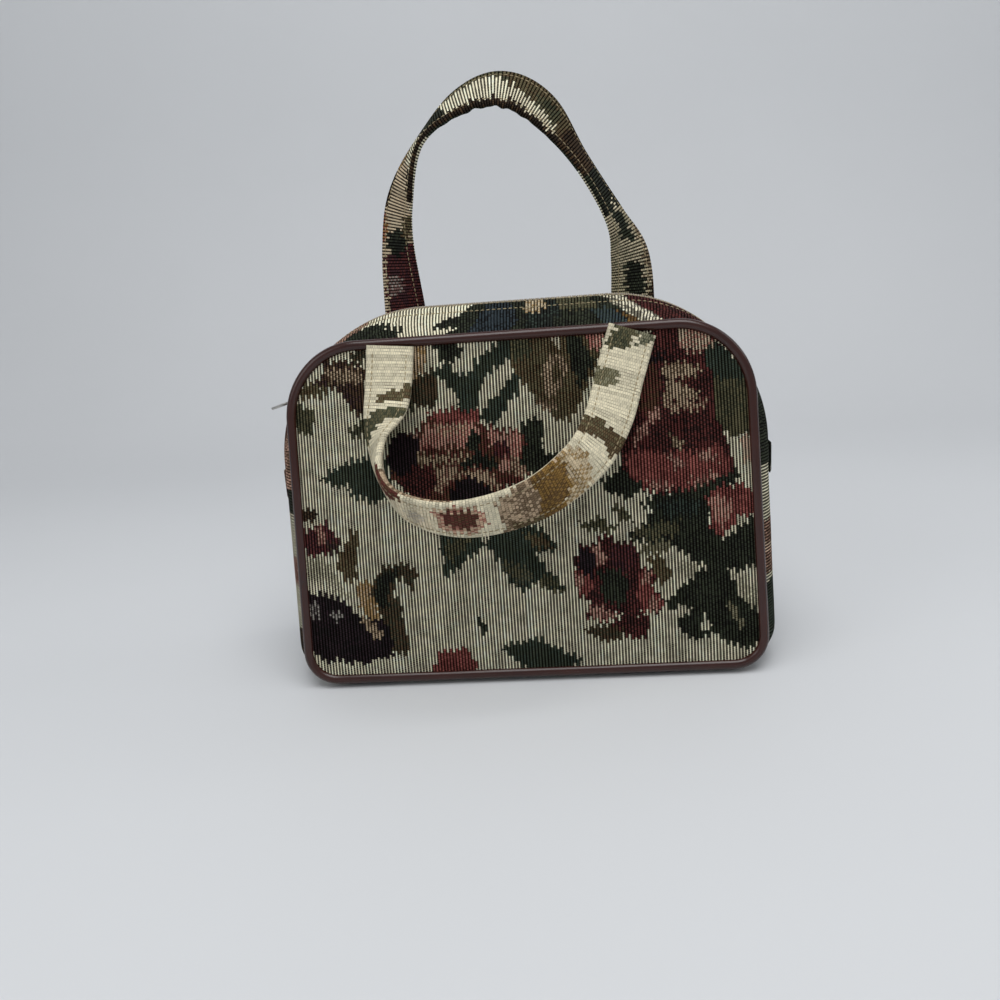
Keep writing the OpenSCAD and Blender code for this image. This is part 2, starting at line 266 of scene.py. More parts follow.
def set_yarn(piece, colours, spread=1.0):
    """Stores the colour of each cell, and as the fourth number how far its ribs stand apart, pale ones
    more. Below 0 they are pressed together."""
    layer = piece.data.color_attributes.new("yarn", "FLOAT_COLOR", "CORNER")
    full = np.empty((len(colours), 4, 4))
    full[:, :, :3] = np.clip(colours, 0, 1)[:, None, :]
    pale = np.clip((colours.mean(axis=1) - 0.25) / 0.35, 0, 1)
    full[:, :, 3] = (spread * (0.7 + 0.3 * pale))[:, None]
    layer.data.foreach_set("color", full.ravel())


# Roses, leaves and stems of the front, as outlines in mm across the panel and up from its lower seam.
rose_cloth = fields("""
brown plum 0.35 -97,144 -90,148 -90,156 -70,151 -71,128 -78,131 -80,138 -88,143
tan brown 0.5 -90,150 -72,150 -72,144 -80,143 -88,146
green brown 0.2 -78,153 -70,166 -69,153
olive green 0.35 -112,137 -104,136 -98,133 -95,127 -98,121 -104,123 -109,129
olive brown 0.4 -112,143 -100,145 -88,143 -88,140 -100,138
green olive 0.2 -81,121 -72,127 -62,130 -48,136 -48,131 -58,126 -68,121 -77,118
green teal 0.25 -96,99.5 -84,106 -73,109 -62,108 -62,90 -70,88 -78,90 -82,93 -80,96 -88,96
burgundy brown 0.4 -62,107 -60,116 -55,119 -50,118 -46,121 -42,126 -33,129 -20,128 -16,121 -12,119 -2,118
    5,117 8,108 6,99 0,95 -6,92 -12,87 -25,84 -40,85 -50,88 -57,95 -61,101
plum black 0.3 -62,107 -60,117 -55,120 -48,118 -46,111 -49,103 -55,99 -60,101
pink plum 0.5 -50,119 -47,119 -45,115 -49,116
rose burgundy 0.4 -43,127 -30,129.5 -18,127.5 -17,122 -28,122 -38,124
pink rose 0.4 -44,123 -30,122 -18,122 -18,114 -26,110 -36,109 -47,111 -46,116 -43,119
tan rose 0.4 -40,123 -22,122 -24,118 -38,118
burgundy brown 0.4 -47,113 -38,111.5 -28,112.5 -22,110 -23,107.5 -34,109 -47,110
tan brown 0.35 -48,109 -36,108 -22,107.5 -20,104.5 -34,105 -42,103 -48,103
burgundy black 0.4 -58,98 -50,103 -42,105 -38,100 -40,92 -47,88 -54,92
tan burgundy 0.4 -40,102 -30,104 -27,99 -33,96 -37,90 -40,92
tan burgundy 0.35 -29,99 -20,101.5 -13,98.5 -9,91 -14,92.5 -22,97.5
black green 0.35 -23,118 -20,119 -18,113 -18,108 -10,104 -10,100 -18,102 -29,102 -26,105 -20,107 -24,112
black plum 0.25 -34,91 -28,97 -20,97 -14,92 -13,86 -33,86
pink rose 0.4 -14,119 -4,117 2,117 1,110 0,104 -6,99 -11,100 -9,106 -14,112
burgundy plum 0.4 -12,113 -5,112 -4,106 -10,105
tan burgundy 0.35 -4,106 4,104 6,100 0,97 -6,98
brown green 0.4 -50,143 -42,146 -37,149 -36,138 -38,130 -46,132 -50,136
tan ochre 0.3 -49,166 -41,166 -41,149 -48,143
green teal 0.3 -38,148 -30,149 -26,144 -21,143 -19,150 -10,155 0,166 6,166 2,150 -8,148 -14,142 -17,136
    -18,129 -24,127 -27,130 -28,138 -33,141
green black 0.3 -41,166 -34,150 -28,150 -24,153 -29,166
green teal 0.3 2,144 -6,138 -12,131 -18,125 -14,122 -10,121 -8,125 -3,131 2,136
olive brown 0.45 0,166 -2,148 2,140 6,137 9,131 14,126 20,120 25,122 30,131 36,140 40,150 36,166
tan brown 0.5 13,145 17,150 22,151 25,146 22,138 18,132 14,131 12.5,138
olive brown 0.45 17,146 20,147 21.5,142 19.5,137 17.5,140
green olive 0.35 0,166 9,166 8,152 2,149 -1,152
green black 0.35 24,166 33,154 37,146 33,139 29,135 27,143 25,150
brown tan 0.35 9,131 18,130 20,126 13,126
sand cream 0.4 16,166 24,166 22,153 19,154
rose pink 0.35 33,166 42,166 41,152 35,151
green black 0.4 2,121 9,122.5 13,118 10,112 12,106 18,105 16,98 8,96 2,101 0,105 4,112 1,117
burgundy black 0.4 50,116 56,128 60,146 62,153 66,166 86,166 94,150 88,144 90,136 90,124 93,112 97,100
    97,93 88,89 78,85 66,85 56,86 48,92 46,100 47,110
brown burgundy 0.4 58,138 62,148 66,140 66,128 60,120 56,124
sand rose 0.45 73,166 84,166 93,150 88,148 82,147 76,150
black plum 0.3 60,147.5 69,147 67,144 62,145
tan brown 0.35 66,140 68,143 74,144 82,142.5 87,138 79,137.5 72,136 79,133.5 84,128 76,127 70,125 72,122
    67,124 66,131 70,135
burgundy brown 0.4 72,136 80,137 80,134 76,134.5
tan burgundy 0.4 67,126 76,127 87,126.5 86,122.5 76,122 70,122
pink burgundy 0.5 51,112 56,116 63,124 66,125 64,119 58,112 54,108
tan brown 0.5 68,112 71,112 75,107 74,103.5 70,107
rose burgundy 0.4 48,103 58,106 66,103 76,104 82,103 90,106 96,99 96,93 88,90 78,86 67,86 56,88 50,92
pink burgundy 0.5 66,103 73,101 76,97 70,96
pink burgundy 0.5 79,104 86,103 92,99 84,98
pink burgundy 0.5 56,91 66,90 70,87 60,87
pink burgundy 0.5 76,90 88,93 92,91 80,87
teal green 0.45 86,148 92,151 99,146 114,137 114,129 98,128 92,134 88,140
olive green 0.35 90,136 114,133 114,111 98,109 92,113 90,124
sand pink 0.4 101,109 114,110 114,97 102,97
green black 0.4 36,92 48,97.5 51,92 58,88 48,84 40,86
green black 0.25 80,87 88,89 98,94 101,91 92,86 82,82
olive green 0.4 25,73 35,75.5 39,72 45,70 36,68.5 29,70
olive green 0.4 40,81 47,79 50.5,72 45,73.5
green black 0.45 48,66 56,72 60,78 53,80 62,85 84,86 86,80 84,72 88,64 92,62 114,78 114,48 92,47 84,50
    77,52 71,58 66,62 56,62 48,64
olive green 0.4 50,68 60,71 72,71.5 70,66 60,63.5 50,65
teal black 0.45 60,80 72,82 82,80 80,74 66,74
rose burgundy 0.45 83.5,81 88,86 101,87 114,78 99,71 93,66 89,63.5 84.5,69 86.5,75
pink rose 0.35 85,80 90,83 96,80 95,73 90,67 87,71
sage cream 0.35 70,54 77,50.5 82,47.5 75,44 69,48
green black 0.35 63,33 68,37 72,40.5 78,46 86,50.5 93,48 95,40 98,32 114,22 114,12 98,8 90,12 84,17 77,13
    68,19 70,25 76,29 70,31 66,28
sage cream 0.4 91,46 94,46 98,34 102,27 114,34 99,41
sage olive 0.4 90,32 93,31 99,20 96,18
cream cream 0 78,21 81.5,26 83,20 81,17
olive brown 0.4 54,56 62,55 65,50 67.5,46 62,41.5 57,46 58,52
olive sage 0.4 55,63 66,62 68,58 60,56 52,59
burgundy black 0.4 22,56 25,62.5 30,62 34,65.5 38,66.5 42,63 50,62.5 52.5,54 54,49 60,49 57.5,41 62,34
    61,28 53,28.5 47,25.5 41,29 33,24.5 26,28.5 29,36 24,38.5 21,45 23,50
rose burgundy 0.4 22,50 30,49 31,43 27,38 22,42
pink burgundy 0.45 22,49 25,49 27,44 24,41 22,43
pink burgundy 0.5 27,33 36,32 40,27 33,25.5 27,28
rose burgundy 0.4 53,49 59,48 56,41 62,34 60,28.5 53,29 50,36 51,44
pink burgundy 0.5 54,48 58,47 56,42 53,43
pink burgundy 0.5 56,37 61,34 59,29 55,30
pink burgundy 0.5 31,62 35,63 37,55 34,51 31,55
plum black 0.35 25,61 30,61 33,52 29,46 24,52
plum burgundy 0.4 40,62 50,62 51,52 44,48 39,52
green black 0.4 33,50 40,51 46,47 46,38 42,32 35,36
burgundy black 0.35 40,27 54,28 56,21 52,15 42,17 34,20
brown green 0.4 25,21 36,24 44,20 40,15 30,17
brown black 0.3 -114,87 -98,84.5 -99,80 -114,79
burgundy plum 0.3 -114,70 -101,77.5 -94,79 -90,74 -87,70 -92,64.5 -99,63.5 -114,67
pink burgundy 0.5 -100,76 -95,77 -94,71 -97,67 -99,71
plum brown 0.3 -94,70 -87,71 -89,65 -95,65
brown olive 0.4 -90,59 -85,67 -82,75 -78.5,74 -79,66 -81,60 -80,52 -84,49.5 -90,56
sage cream 0.4 -114,60 -96,62 -90,52 -83,40 -88,42 -97,50 -114,53
ochre tan 0.3 -82,48 -74.5,50 -72,42 -71,31 -76,28 -80,37
brown green 0.4 -52,50 -51.5,55 -58,57.5 -66,57 -72,51 -74.5,44 -70.5,34 -69,24 -66,14 -58,12 -59.5,28
    -60.5,38 -64,44 -63,48.5 -58,50 -55,45.5
black green 0.35 -61,56 -68,54 -73,45 -71,36 -66,38 -66,46 -62,51
black plum 0.4 -114,46 -96,43.5 -88,40 -80,32 -70,30 -66,22 -66,12 -80,8 -100,10 -114,20
grey plum 0.35 -114,38 -101,40 -99,32 -114,32
grey black 0.4 -95,34 -91,36 -88,33 -93,30
tan brown 0.4 -82,31 -74,30 -69,22 -74,20
green teal 0.3 -40,66 -38,74 -22,74 -19,67 -24,60 -28,59 -32,54 -39.5,50 -40,52 -38,58
olive green 0.4 -38,66 -32,70 -24,69 -28,63 -35,58
green teal 0.4 -18,66 -14,74 4,74 12,68 15,62 8,60 3,60 10,52 18.5,40.5 12,41 4,46 -3,42 -8,46.5 -13,57
olive green 0.35 6,50 10,50 18,41 12,41.5 6,45
olive teal 0.45 -12,56 -6,57 2,52 4,47 -4,45 -8,49
olive brown 0.4 -2,70 8,69 13,63 6,62
green black 0.3 -24.5,29 -22,27 -19.5,21 -24,21
green teal 0.3 -14,14 2,18 14,12 24,4 6,-6 -8,6
burgundy rose 0.4 -52,-6 -44,12 -32,14 -26,6 -30,-6
""")

# Rose tapestry: ribbed cotton, dull and slightly hairy. The eye sees bright upright ribs with dark gaps
# between them, a finer row of dots along each rib, and colour that changes from rib to rib.
# Near-black colour of the gaps between the ribs: dark warp thread with painted shade in the grooves.
rib_gap_and_shade = "#070504"


def add_node(tree, kind, links=None, **settings):
    made = tree.nodes.new(kind)
    for name, value in settings.items():
        setattr(made, name, value)
    for name, value in (links or {}).items():
        if isinstance(value, bpy.types.NodeSocket):
            tree.links.new(value, made.inputs[name])
        else:
            made.inputs[name].default_value = value
    return made


def work(tree, operation, *values):
    return add_node(tree, "ShaderNodeMath", dict(enumerate(values)), operation=operation).outputs[0]


def mapped(tree, value, low, high, start=0.0, end=1.0, kind="LINEAR"):
    """low to high while the value goes from start to end."""
    return add_node(tree, "ShaderNodeMapRange", {
        "Value": value, "From Min": start, "From Max": end, "To Min": low, "To Max": high},
        interpolation_type=kind).outputs[0]


def noise(tree, scale, detail):
    where = add_node(tree, "ShaderNodeTexCoord")
    return add_node(tree, "ShaderNodeTexNoise", {
        "Vector": where.outputs["Object"], "Scale": scale, "Detail": detail}).outputs["Fac"]


def emboss(tree, shader, height, distance, strength):
    relief = add_node(tree, "ShaderNodeBump", {
        "Height": height, "Distance": distance * mm, "Strength": strength})
    tree.links.new(relief.outputs["Normal"], shader.inputs["Normal"])


def new_material(name):
    material = bpy.data.materials.new(name)
    material.use_nodes = True
    tree = material.node_tree
    tree.nodes.clear()
    shader = add_node(tree, "ShaderNodeBsdfPrincipled")
    add_node(tree, "ShaderNodeOutputMaterial", {"Surface": shader.outputs["BSDF"]})
    return material, tree, shader


def rgba(text):
    return (*linear(text), 1.0)


tapestry, tree, shader = new_material("rose_tapestry_cotton")
loose = noise(tree, 180.0, 2.0)
cell = add_node(tree, "ShaderNodeUVMap", uv_map="weave")
split = add_node(tree, "ShaderNodeSeparateXYZ", {"Vector": cell.outputs["UV"]})
across, up = split.outputs["X"], split.outputs["Y"]
thread = add_node(tree, "ShaderNodeAttribute", attribute_name="yarn")
# Gaps between the ribs, with ragged sides. Their near-black colour is dark warp thread in each groove
# together with painted shade, and the soft edge of each gap is painted shade of the round rib turning away at
# its sides.
from_mid = work(tree, "ABSOLUTE", work(tree, "SUBTRACT", work(tree, "FRACT", across), 0.5))
ragged = work(tree, "ADD", from_mid, work(tree, "MULTIPLY_ADD", loose, 0.3, -0.15))
edge = work(tree, "MULTIPLY_ADD", thread.outputs["Alpha"], 0.3, ragged)
gap_and_shade = mapped(tree, edge, 0.0, 1.0, 0.35, 0.53, "SMOOTHSTEP")
# Dots along each rib, set off by half a pick from rib to rib and deeper in dark yarn.
light = add_node(tree, "ShaderNodeRGBToBW", {"Color": thread.outputs["Color"]}).outputs[0]
dotted = mapped(tree, light, 0.6, 0.25, 0.25, 0.6)
brick = work(tree, "MULTIPLY_ADD", work(tree, "FLOOR", across), 0.5, up)
dot = work(tree, "ABSOLUTE", work(tree, "SUBTRACT", work(tree, "FRACT", brick), 0.5))
pit = mapped(tree, dot, 0.0, dotted, 0.22, 0.46, "SMOOTHSTEP")
# Picks that cross the gaps and break them up.
offset = work(tree, "MULTIPLY_ADD", work(tree, "ROUND", across), 0.5, up)
bridge = mapped(tree, work(tree, "PINGPONG", offset, 0.5), 1.0, 0.75, 0.22, 0.48, "SMOOTHSTEP")
hole_and_shade = work(tree, "MAXIMUM", work(tree, "MULTIPLY", gap_and_shade, bridge), pit)
fade = mapped(tree, loose, 0.8, 1.15)
worn = add_node(tree, "ShaderNodeVectorMath", {0: thread.outputs["Color"], "Scale": fade}, operation="SCALE")
# Gaps and dots take the gap colour, which is partly painted shade.
shade = add_node(tree, "ShaderNodeMix", {0: hole_and_shade, 6: worn.outputs[0], 7: rgba(rib_gap_and_shade)}, data_type="RGBA")
tree.links.new(shade.outputs[2], shader.inputs["Base Color"])
tree.links.new(mapped(tree, hole_and_shade, 0.78, 0.95), shader.inputs["Roughness"])
tree.links.new(mapped(tree, hole_and_shade, 0.12, 0.0), shader.inputs["Specular IOR Level"])
emboss(tree, shader, work(tree, "SUBTRACT", 1.0, hole_and_shade), 0.4, 0.7)


def select_only(piece):
    bpy.ops.object.select_all(action="DESELECT")
    piece.select_set(True)
    bpy.context.view_layer.objects.active = piece


def edit_all():
    """Opens the active piece for editing, with all of it selected."""
    bpy.ops.object.mode_set(mode="EDIT")
    bpy.ops.mesh.select_all(action="SELECT")


def thicken(piece, thickness, middle):
    """Turns the faces away from the middle of the bag, then gives the cloth its thickness inwards."""
    select_only(piece)
    faces = len(piece.data.polygons)
    centre = np.empty(faces * 3)
    normal = np.empty(faces * 3)
    piece.data.polygons.foreach_get("center", centre)
    piece.data.polygons.foreach_get("normal", normal)
    facing = ((centre.reshape(-1, 3) - np.array(middle) * mm) * normal.reshape(-1, 3)).sum(axis=1)
    if np.median(facing) < 0:
        edit_all()
        bpy.ops.mesh.flip_normals()
        bpy.ops.object.mode_set(mode="OBJECT")
    wall = piece.modifiers.new("Solidify", "SOLIDIFY")
    wall.thickness = thickness * mm
    wall.offset = -1
    bpy.ops.object.modifier_apply(modifier="Solidify")
    bpy.ops.object.shade_smooth()


def trim(piece, keep):
    """Removes the cells that lie outside the cut of the cloth."""
    select_only(piece)
    bpy.ops.object.mode_set(mode="EDIT")
    bpy.ops.mesh.select_mode(type="FACE")
    bpy.ops.mesh.select_all(action="DESELECT")
    bpy.ops.object.mode_set(mode="OBJECT")
    piece.data.polygons.foreach_set("select", ~keep)
    bpy.ops.object.mode_set(mode="EDIT")
    bpy.ops.mesh.delete(type="FACE")
    bpy.ops.object.mode_set(mode="OBJECT")


def fit(piece, node, material, body="bag"):
    piece.data.materials.clear()
    piece.data.materials.append(material)
    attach(piece, body)
    if node:
        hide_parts(node)


bag_middle = (0, 0, seam_z + panel_h / 2)
panel_ribs = round(2 * half_w / rib)
panel_picks = round(slant_h / pick)
cut_margin = 0.6


def panel(name, node, place, drawn_at):
    piece, cells = woven_grid(name, panel_ribs, panel_picks, place)
    x = (2 * cells[:, 0] - 1) * half_w
    s = cells[:, 1] * slant_h
    set_yarn(piece, woven_colours(rose_cloth, *drawn_at(x, s)))
    trim(piece, depth_inside(x, s) > cut_margin)
    thicken(piece, cloth_t, bag_middle)
    fit(piece, node, tapestry)


def as_drawn(x, s):
    return x, s


panel("front_panel_cloth", "front_panel", front_panel_at, as_drawn)

# Back panel: the same cloth and cut as the front, facing the other way. Another part of the roses falls
# on it, so the pattern is turned end for end.


def back_panel_at(u, v):
    return front_panel_at(u, v) * [1, -1, 1]


def end_for_end(x, s):
    return 6 - x, slant_h - 4 - s


panel("back_panel_cloth", "back_panel", back_panel_at, end_for_end)

# Lower gusset: one long strip of the tapestry that runs down one side, under the base and up the other,
# sewn to both panels along the piping. Its ribs run across it. It swells out between the seams.
strip_low, strip_high = np.array(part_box("zip_strip_front")) / mm
join_z = strip_low[2]
zip_x = strip_high[0]
zip_top = strip_high[2]
side_crown = zip_x - half_w
base_crown = seam_z
gusset_flat = 0.6
drawn_half = 40


def arc(cx, cz, r, start, end, count):
    a = np.radians(np.linspace(start, end, count))
    return np.stack([cx + r * np.cos(a), cz + r * np.sin(a), np.cos(a), np.sin(a)], -1)


def straight(x, z0, z1, nx, count):
    z = np.linspace(z0, z1, count)
    return np.stack([x + 0 * z, z, nx + 0 * z, 0 * z], -1)


def gone_along(points):
    """Length from the start of a line to each of its points."""
    return np.concatenate([[0], np.cumsum(np.linalg.norm(np.diff(points, axis=0), axis=1))])


def even_path(path, share):
    """Points at shares of the length of a path of rows [x, z, nx, nz]."""
    gone = gone_along(path[:, :2])
    return np.stack([np.interp(share * gone[-1], gone, path[:, k]) for k in range(4)], -1)


lower_path = np.concatenate([
    straight(-half_w, join_z, seam_z + bottom_r, -1, 40)[:-1],
    arc(bottom_r - half_w, seam_z + bottom_r, bottom_r, 180, 270, 14)[:-1],
    arc(half_w - bottom_r, seam_z + bottom_r, bottom_r, 270, 360, 14)[:-1],
    straight(half_w, seam_z + bottom_r, join_z, 1, 40)])
gusset_length = gone_along(lower_path[:, :2])[-1]


def swell(v):
    past = np.maximum(0, np.abs(v) - gusset_flat) / (1 - gusset_flat)
    return 1 - past * past


def lower_gusset_at(u, v):
    p = even_path(lower_path, u)
    side = 2 * v - 1
    half = half_depth(p[:, 1]) - 0.5 * piping_r
    crown = side_crown * p[:, 2] ** 2 + base_crown * p[:, 3] ** 2
    waves = 0.5 * np.sin(u * 63) * np.cos(side * 2.2) * p[:, 2] ** 2
    out = (crown * swell(side) + waves * swell(side)) - 0.02
    z = p[:, 1] + p[:, 3] * out
    return np.stack([p[:, 0] * flare_at(p[:, 1]) + p[:, 2] * out, side * half, z], -1)


# Fields of colour on the gusset, in mm along it from the middle of the base and across it.
gusset_cloth = fields("""
green black 0.4 -200,-44 -200,44 -183,44 -185,8 -182,-12 -184,-44
burgundy pink 0.4 -162,-44 -160,-8 -164,20 -156,44 -146,20 -149,-14 -147,-44
green black 0.3 -142,-10 -128,-14 -120,12 -130,44 -148,44
black brown 0.4 -126,-44 -122,0 -130,44 -108,44 -112,6 -104,-44
green olive 0.4 -96,-44 -84,-20 -92,16 -72,44 -50,30 -62,4 -48,-26 -70,-44
rose burgundy 0.45 -30,-24 -10,-36 14,-30 24,-4 12,22 -14,28 -34,8
pink tan 0.4 -16,-18 2,-24 10,-4 0,12 -18,8
olive green 0.4 36,-44 50,-16 40,18 60,44 86,36 74,4 84,-28 66,-44
green teal 0.3 98,-44 106,-10 96,24 110,44 138,44 136,10 142,-14 138,-44
brown pink 0.35 142,-44 146,-10 140,24 144,44 168,44 170,6 168,-44
pink sand 0.45 150,-44 156,-24 160,-44
green olive 0.3 172,20 180,44 196,44 190,16 180,10
""")
gusset_ribs = round(gusset_length / rib)
gusset_picks = round(2 * base_half / pick)
gusset, cells = woven_grid("lower_gusset_cloth", gusset_ribs, gusset_picks, lower_gusset_at)
gusset_x = (cells[:, 0] - 0.5) * gusset_length
set_yarn(gusset, woven_colours(gusset_cloth, gusset_x, (2 * cells[:, 1] - 1) * drawn_half))
thicken(gusset, cloth_t, bag_middle)
fit(gusset, "lower_gusset", tapestry)

# Zip strips: two curved strips of the tapestry, one each side of the zip, from the piped seam up to a
# folded edge beside the teeth. Two rows of stitching hold the fold down on the zip tape.
zip_r = 72
zip_half = 4.8
roof_power = 1.3
fold = 1.7
fold_share = 0.9
edge_stitch = 1.2
hold_stitch = 6.6
stitch_dents = ((edge_stitch, 0.3, 0.7), (hold_stitch, 0.35, 0.9))  # distance from the edge, depth, width
strip_w = 26
strip_t = 0.8
strip_picks = 30
strip_spread = 0.65


def upper_path(x, top, r):
    return np.concatenate([
        straight(-x, join_z, top - r, -1, 25)[:-1], arc(r - x, top - r, r, 180, 90, 60),
        arc(x - r, top - r, r, 90, 0, 60), straight(x, top - r, join_z, 1, 25)[1:]])


seam_top = seam_z + panel_h
seam_path = upper_path(half_w, seam_top, top_r)
ridge_path = upper_path(zip_x, zip_top, zip_r)
ridge_gone = gone_along(ridge_path[:, :2])
ridge_length = ridge_gone[-1]


def pair_at(u):
    """The matching points of the seam and of the ridge at a share of the ridge's length."""
    at = np.asarray(u) * ridge_length
    return (np.stack([np.interp(at, ridge_gone, path[:, k]) for k in range(4)], -1)
            for path in (seam_path, ridge_path))


def strip_at(u, v, lift=0.0):
    """v runs from the seam to the folded edge at fold_share, and on round the fold to its underside."""
    a, b = pair_at(u)
    up = np.minimum(v / fold_share, 1)
    round_fold = np.maximum(v - fold_share, 0) / (1 - fold_share) * pi
    outer = half_depth(a[:, 1]) - 0.5 * piping_r
    y = outer + (zip_half + fold / 2 - outer) * up
    roof = 1 - (1 - up) ** roof_power
    g = np.clip(roof * a[:, 3] ** 2 + swell(y / outer) * a[:, 2] ** 2, 0, 1)
    ax = a[:, 0] * flare_at(a[:, 1])
    to_edge = y - zip_half
    dents = sum(deep * np.exp(-((to_edge - row) / wide) ** 2) for row, deep, wide in stitch_dents)
    out = lift - dents - fold / 2 * (1 - np.cos(round_fold))
    y = y - fold / 2 * np.sin(round_fold)
    x = ax + (b[:, 0] - ax) * g + b[:, 2] * out
    z = a[:, 1] + (b[:, 1] - a[:, 1]) * g + b[:, 3] * out
    return np.stack([x, -y, z], -1)


def even_ribs(steps, levels):
    """For each level of height, the shares along the zip where evenly spaced ribs stand."""
    u = np.linspace(0, 1, steps + 1)
    shares = []
    for v in np.linspace(0, 1, levels + 1):
        gone = gone_along(strip_at(u, v + 0 * u))
        shares.append(np.interp(u, gone / gone[-1], u))
    return np.array(shares)


rib_table = even_ribs(400, 12)

# Fields of colour on the strips, in mm along the zip from its middle and up from the seam.
strip_cloth = fields("""
brown pink 0.45 -172,-4 -172,30 -72,30 -66,12 -72,-4
burgundy brown 0.4 -150,-4 -140,30 -112,30 -118,-4
green black 0.4 -72,-4 -70,8 -62,13 -46,11 -36,6 -32,-4
black green 0.4 -27,6 -25,12 -18,14 -16,6
green black 0.45 -20,-4 -20,4 -16,8 -20,14 -18,30 44,30 40,14 36,-4
slate black 0.35 -14,-4 -12,22 -2,24 2,10 -2,-4
black teal 0.3 3,4 6,14 16,22 22,16 14,8 10,0
olive green 0.45 18,12 20,24 36,24 32,12
slate teal 0.4 26,-4 28,12 36,12 33,-4
sand ochre 0.45 4,14 6,24 15,24 13,15 9,12
brown ochre 0.35 32,-4 36,8 40,8 37,-4
black cream 0.35 36,-4 42,30 54,30 44,-4
cream grey 0.3 38,-4 45,20 49,20 42,-4
burgundy black 0.45 43,-4 54,30 92,30 100,14 96,-4
black burgundy 0.4 66,6 70,22 76,22 72,6
brown burgundy 0.4 90,-4 86,30 136,30 140,-4
green black 0.4 130,-4 132,30 174,30 174,-4
""")


def zip_strip(name, node, side):
    """side is 1 in front of the zip and -1 behind it, where the pattern is turned round."""
    def place(u, v):
        return strip_at(table_value(rib_table, u, v), v) * [1, side, 1]
    strip, cells = woven_grid(name, round(ridge_length / rib), strip_picks, place)
    x = side * (table_value(rib_table, cells[:, 0], cells[:, 1]) - 0.5) * ridge_length
    colours = woven_colours(strip_cloth, x, cells[:, 1] * strip_w, cells[:, 0] * ridge_length)
    set_yarn(strip, colours, spread=strip_spread)
    thicken(strip, strip_t, bag_middle)
    fit(strip, node, tapestry)


zip_strip("zip_strip_front_cloth", "zip_strip_front", 1)
zip_strip("zip_strip_rear_cloth", "zip_strip_rear", -1)

# Piping: a cotton cord in a sleeve of soft burgundy vinyl, sewn into the seam all round each panel. It
# stands half out of the seam, so it is a round cord that follows the seam line.
cord_out = 0.3
cord_points = 360
outline_path = np.concatenate([
    arc(half_w - top_r, slant_h - top_r, top_r, 0, 90, 24),
    arc(top_r - half_w, slant_h - top_r, top_r, 90, 180, 24),
    arc(bottom_r - half_w, bottom_r, bottom_r, 180, 270, 16),
    arc(half_w - bottom_r, bottom_r, bottom_r, 270, 360, 16),
    arc(half_w - top_r, slant_h - top_r, top_r, 0, 0, 1)])
outline = even_path(outline_path, np.arange(cord_points) / cord_points)


def poly_line(name, points):
    curve = bpy.data.curves.new(name, "CURVE")
    curve.dimensions = "3D"
    spline = curve.splines.new("POLY")
    spline.points.add(len(points) - 1)
    spline.points.foreach_set("co", np.concatenate([points, np.ones((len(points), 1))], axis=1).ravel())
    line = bpy.data.objects.new(name, curve)
    bpy.context.collection.objects.link(line)
    return line


def piping(name, side):
    cord = poly_line(name, on_front(outline[:, 0], outline[:, 1], cord_out) * [1, side, 1] * mm)
    cord.data.splines[0].use_cyclic_u = True
    cord.data.bevel_depth = piping_r * mm
    cord.data.bevel_resolution = 5
    select_only(cord)
    bpy.ops.object.convert(target="MESH")
    bpy.ops.object.shade_smooth()
    return bpy.context.object


def two_tone(tree, shader, pattern, dark, light, low, high):
    """Lets the colour go from dark to light and the roughness from low to high with one pattern."""
    tone = add_node(tree, "ShaderNodeMix", {0: pattern, 6: rgba(dark), 7: rgba(light)}, data_type="RGBA")
    tree.links.new(tone.outputs[2], shader.inputs["Base Color"])
    tree.links.new(mapped(tree, pattern, low, high), shader.inputs["Roughness"])


# Burgundy vinyl: plasticised PVC over a cord, smooth with a soft shine, fine grain and a few scuffs.
vinyl, tree, shader = new_material("burgundy_vinyl")
two_tone(tree, shader, noise(tree, 60.0, 4.0), "#260f0a", "#3c1c15", 0.12, 0.27)
emboss(tree, shader, noise(tree, 1400.0, 2.0), 0.08, 0.4)
shader.inputs["Specular IOR Level"].default_value = 0.45
for name, node, side in (("piping_front_cord", "piping_front", 1), ("piping_rear_cord", "piping_rear", -1)):
    fit(piping(name, side), node, vinyl)

# Handles: two straps of the tapestry folded over and sewn shut along both edges, with the ribs across the
# strap. The front one hangs down over the panel and the rear one stands up in a loop.
strap_w = 22
strap_t = 3.0
strap_span = 112
strap_cells = 44
strap_crown = 0.5
hem = strap_w / 2 - 3.2
hem_deep = 0.4
hem_wide = 0.8
far_face = 40
front_drop = 71
front_bow = 39
rear_rise = 108
rear_bow = 12
ripple_step = 1.8
ripple_reach = 0.09

# Each point of a route: distance across as a share of the span, fall or rise as a share of the loop's
# height, and the angle by which the strap turns from facing forward to facing out of its loop.
front_route = np.array([
    [-0.5, 0, 0], [-0.52, 0.32, 10], [-0.555, 0.57, 55], [-0.53, 0.78, 66], [-0.43, 0.93, 46],
    [-0.21, 1, 30], [0.055, 0.925, 20], [0.26, 0.735, 10], [0.36, 0.525, 4], [0.42, 0.27, 0],
    [0.48, 0, 0]])
rear_route = np.array([
    [-0.51, 0, 0], [-0.515, 0.38, 36], [-0.475, 0.61, 50], [-0.36, 0.83, 76], [-0.18, 0.965, 54],
    [0, 1, 40], [0.165, 0.91, 42], [0.315, 0.7, 68], [0.46, 0.445, 62], [0.52, 0.26, 26],
    [0.525, 0, 0]])


def route_at(route, at):
    """A smooth curve through the points of a route, at shares of the way along it."""
    last = len(route) - 1
    ends = np.concatenate([[2 * route[0] - route[1]], route, [2 * route[-1] - route[-2]]])
    i = np.minimum((at * last).astype(int), last - 1)
    f = (at * last - i)[:, None]
    a, b, c, d = (ends[i + k] for k in range(4))
    bent = (2 * a - 5 * b + 4 * c - d) * f ** 2 + (3 * b - a - 3 * c + d) * f ** 3
    return b + (c - a) * f / 2 + bent / 2


def unit(v):
    return v / np.linalg.norm(v, axis=-1, keepdims=True)


